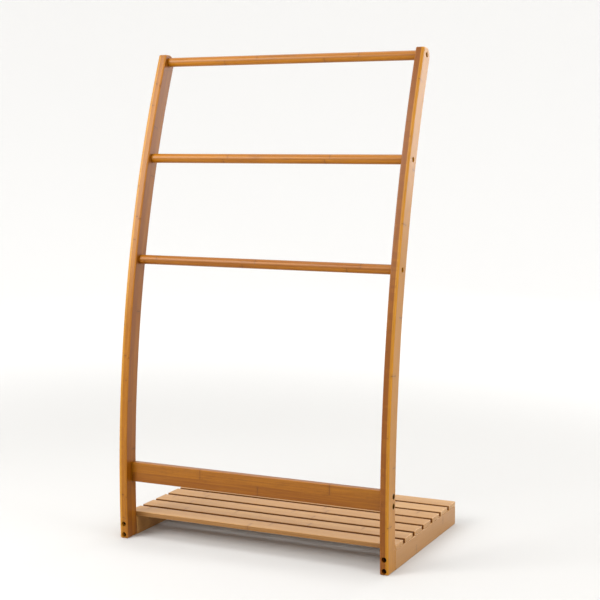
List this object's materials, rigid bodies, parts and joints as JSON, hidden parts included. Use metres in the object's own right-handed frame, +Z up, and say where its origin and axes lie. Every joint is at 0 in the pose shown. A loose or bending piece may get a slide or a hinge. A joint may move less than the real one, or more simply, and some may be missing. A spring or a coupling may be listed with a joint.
{
  "type": "towel rack",
  "caption": "Free-standing bamboo towel rack: two bowed uprights joined by round bars and a flat crossbar, with a slatted shelf behind the feet at floor level.",
  "frame": {"origin": "on the floor, at the centre of the footprint", "axes": "+Z up, +X across the rack to the right as seen from the front, +Y from the front, where the uprights stand, to the back, where the shelf ends"},
  "size_m": [0.5, 0.3322, 0.84],
  "materials": {
    "bamboo_frame": "laminated bamboo, carbonised to honey brown, sanded and clear satin lacquered",
    "bamboo_shelf": "laminated bamboo, paler tan, sanded and clear satin lacquered",
    "screw_steel": "steel with a black oxide finish",
    "dowel_wood": "turned beech, unfinished"
  },
  "bodies": {
    "root": {"upright_left": "bamboo_frame", "upright_right": "bamboo_frame", "bar_top": "bamboo_frame", "bar_middle": "bamboo_frame", "bar_lower": "bamboo_frame", "crossbar": "bamboo_frame", "runner_left": "bamboo_shelf", "runner_right": "bamboo_shelf", "slat_1": "bamboo_shelf", "slat_2": "bamboo_shelf", "slat_3": "bamboo_shelf", "slat_4": "bamboo_shelf", "slat_5": "bamboo_shelf", "slat_6": "bamboo_shelf", "slat_7": "bamboo_shelf", "bar_top_screw_left": "screw_steel", "bar_top_screw_right": "screw_steel", "bar_middle_screw_left": "screw_steel", "bar_middle_screw_right": "screw_steel", "bar_lower_screw_left": "screw_steel", "bar_lower_screw_right": "screw_steel", "crossbar_upper_screw_left": "screw_steel", "crossbar_upper_screw_right": "screw_steel", "crossbar_lower_screw_left": "screw_steel", "crossbar_lower_screw_right": "screw_steel", "runner_upper_screw_left": "screw_steel", "runner_upper_screw_right": "screw_steel", "runner_lower_screw_left": "screw_steel", "runner_lower_screw_right": "screw_steel", "slat_1_dowel_left": "dowel_wood", "slat_1_dowel_right": "dowel_wood", "slat_2_dowel_left": "dowel_wood", "slat_2_dowel_right": "dowel_wood", "slat_3_dowel_left": "dowel_wood", "slat_3_dowel_right": "dowel_wood", "slat_4_dowel_left": "dowel_wood", "slat_4_dowel_right": "dowel_wood", "slat_5_dowel_left": "dowel_wood", "slat_5_dowel_right": "dowel_wood", "slat_6_dowel_left": "dowel_wood", "slat_6_dowel_right": "dowel_wood", "slat_7_dowel_left": "dowel_wood", "slat_7_dowel_right": "dowel_wood"}
  },
  "joints": []
}
